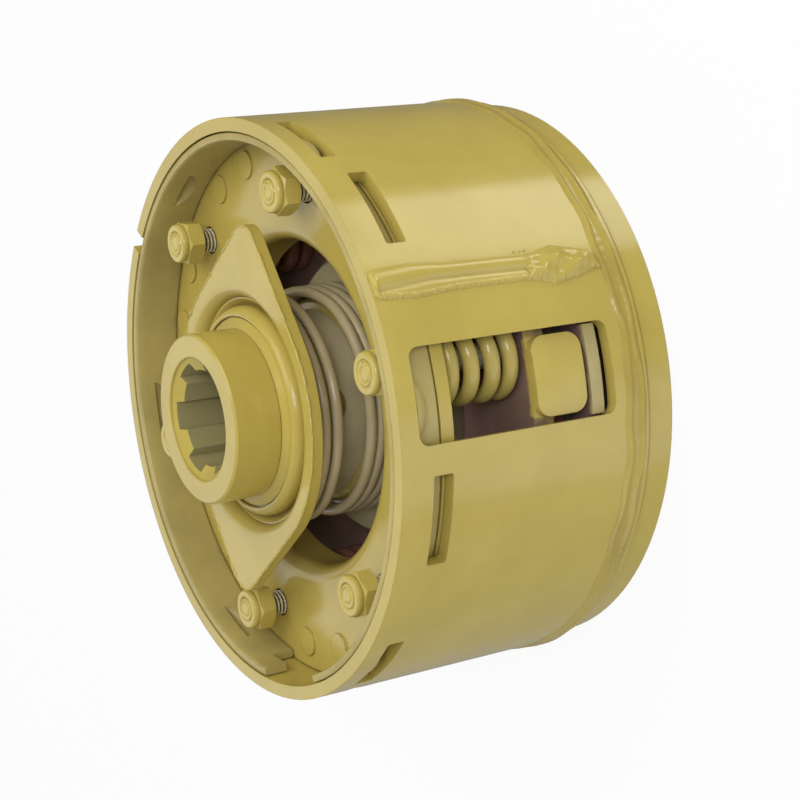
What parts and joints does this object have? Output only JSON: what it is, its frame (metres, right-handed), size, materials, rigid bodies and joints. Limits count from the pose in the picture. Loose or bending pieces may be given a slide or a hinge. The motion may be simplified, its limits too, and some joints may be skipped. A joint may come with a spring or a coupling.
{
  "type": "friction clutch",
  "caption": "Spring-loaded friction clutch: welded drum with windows, disc pack, and a splined hub with a quick-release ball collar.",
  "frame": {"origin": "centre of the rear face of the flange, on the clutch axis", "axes": "+Z along the axis towards the hub's nose; -Y through the middle of the first window"},
  "size_m": [0.182, 0.182, 0.1134],
  "materials": {
    "gold_paint": "glossy sprayed enamel",
    "spring_paint": "thin gloss paint",
    "inner_paint": "primer with overspray",
    "disc_lining": "moulded friction lining",
    "bronze": "turned bearing bronze",
    "stud_steel": "painted over steel thread",
    "ball_steel": "polished"
  },
  "bodies": {
    "drum": {"drum_shell": "gold_paint", "seam_weld": "gold_paint", "flange_weld": "gold_paint", "rear_flange": "gold_paint", "rear_bush": "bronze", "setting_ring": "gold_paint", "cover_plate": "gold_paint", "intermediate_plate": "inner_paint", "thrust_washer": "bronze", "friction_disc_1": "disc_lining", "friction_disc_2": "disc_lining", "friction_disc_3": "disc_lining", "friction_disc_4": "disc_lining", "spring_1": "spring_paint", "spring_2": "spring_paint", "spring_3": "spring_paint", "spring_4": "spring_paint", "spring_5": "spring_paint", "spring_6": "spring_paint"},
    "pressure": {"pressure_plate": "inner_paint", "pressure_studs": "stud_steel"},
    "nut_1": {"lock_nut_1": "gold_paint"},
    "nut_2": {"lock_nut_2": "gold_paint"},
    "nut_3": {"lock_nut_3": "gold_paint"},
    "nut_4": {"lock_nut_4": "gold_paint"},
    "nut_5": {"lock_nut_5": "gold_paint"},
    "nut_6": {"lock_nut_6": "gold_paint"},
    "hub": {"hub": "gold_paint", "drive_plate_1": "inner_paint", "drive_plate_2": "inner_paint", "retaining_ring": "gold_paint"},
    "collar_spring": {"collar_spring": "spring_paint"},
    "collar": {"locking_sleeve": "gold_paint", "grip_plate": "gold_paint"},
    "ball_1": {"locking_ball_1": "ball_steel"},
    "ball_2": {"locking_ball_2": "ball_steel"},
    "ball_3": {"locking_ball_3": "ball_steel"}
  },
  "joints": [
    {"name": "hub_slip", "type": "hinge", "parent": "drum", "child": "hub", "pos_m": [0, 0, 0], "axis": [0, 0, 1], "continuous": true},
    {"name": "pressure_release", "type": "slide", "parent": "drum", "child": "pressure", "axis": [0, 0, 1], "range_m": [0, 0.0015], "stiffness_N_per_m": 60000, "springref_m": -0.008, "deforming": ["spring_1", "spring_2", "spring_3", "spring_4", "spring_5", "spring_6"]},
    {"name": "nut_1_run", "type": "slide", "parent": "pressure", "child": "nut_1", "axis": [0, 0, -1], "range_m": [0, 0.0045]},
    {"name": "nut_2_run", "type": "slide", "parent": "pressure", "child": "nut_2", "axis": [0, 0, -1], "range_m": [0, 0.0045]},
    {"name": "nut_3_run", "type": "slide", "parent": "pressure", "child": "nut_3", "axis": [0, 0, -1], "range_m": [0, 0.0045]},
    {"name": "nut_4_run", "type": "slide", "parent": "pressure", "child": "nut_4", "axis": [0, 0, -1], "range_m": [0, 0.0045]},
    {"name": "nut_5_run", "type": "slide", "parent": "pressure", "child": "nut_5", "axis": [0, 0, -1], "range_m": [0, 0.0045]},
    {"name": "nut_6_run", "type": "slide", "parent": "pressure", "child": "nut_6", "axis": [0, 0, -1], "range_m": [0, 0.0045]},
    {"name": "collar_turn", "type": "hinge", "parent": "hub", "child": "collar_spring", "pos_m": [0, 0, 0.064], "axis": [0, 0, 1], "continuous": true},
    {"name": "collar_pull", "type": "slide", "parent": "collar_spring", "child": "collar", "axis": [0, 0, -1], "range_m": [0, 0.007], "stiffness_N_per_m": 1500, "springref_m": -0.01, "deforming": ["collar_spring"]},
    {"name": "ball_1_out", "type": "slide", "parent": "hub", "child": "ball_1", "axis": [0.8829, 0.4695, 0], "range_m": [0, 0.0022]},
    {"name": "ball_2_out", "type": "slide", "parent": "hub", "child": "ball_2", "axis": [-0.848, 0.5299, 0], "range_m": [0, 0.0022]},
    {"name": "ball_3_out", "type": "slide", "parent": "hub", "child": "ball_3", "axis": [-0.0349, -0.9994, 0], "range_m": [0, 0.0022]}
  ],
  "couplings": [
    {"joint": "ball_1_out", "follows": "collar_pull", "ratio": 0.31},
    {"joint": "ball_2_out", "follows": "collar_pull", "ratio": 0.31},
    {"joint": "ball_3_out", "follows": "collar_pull", "ratio": 0.31}
  ]
}
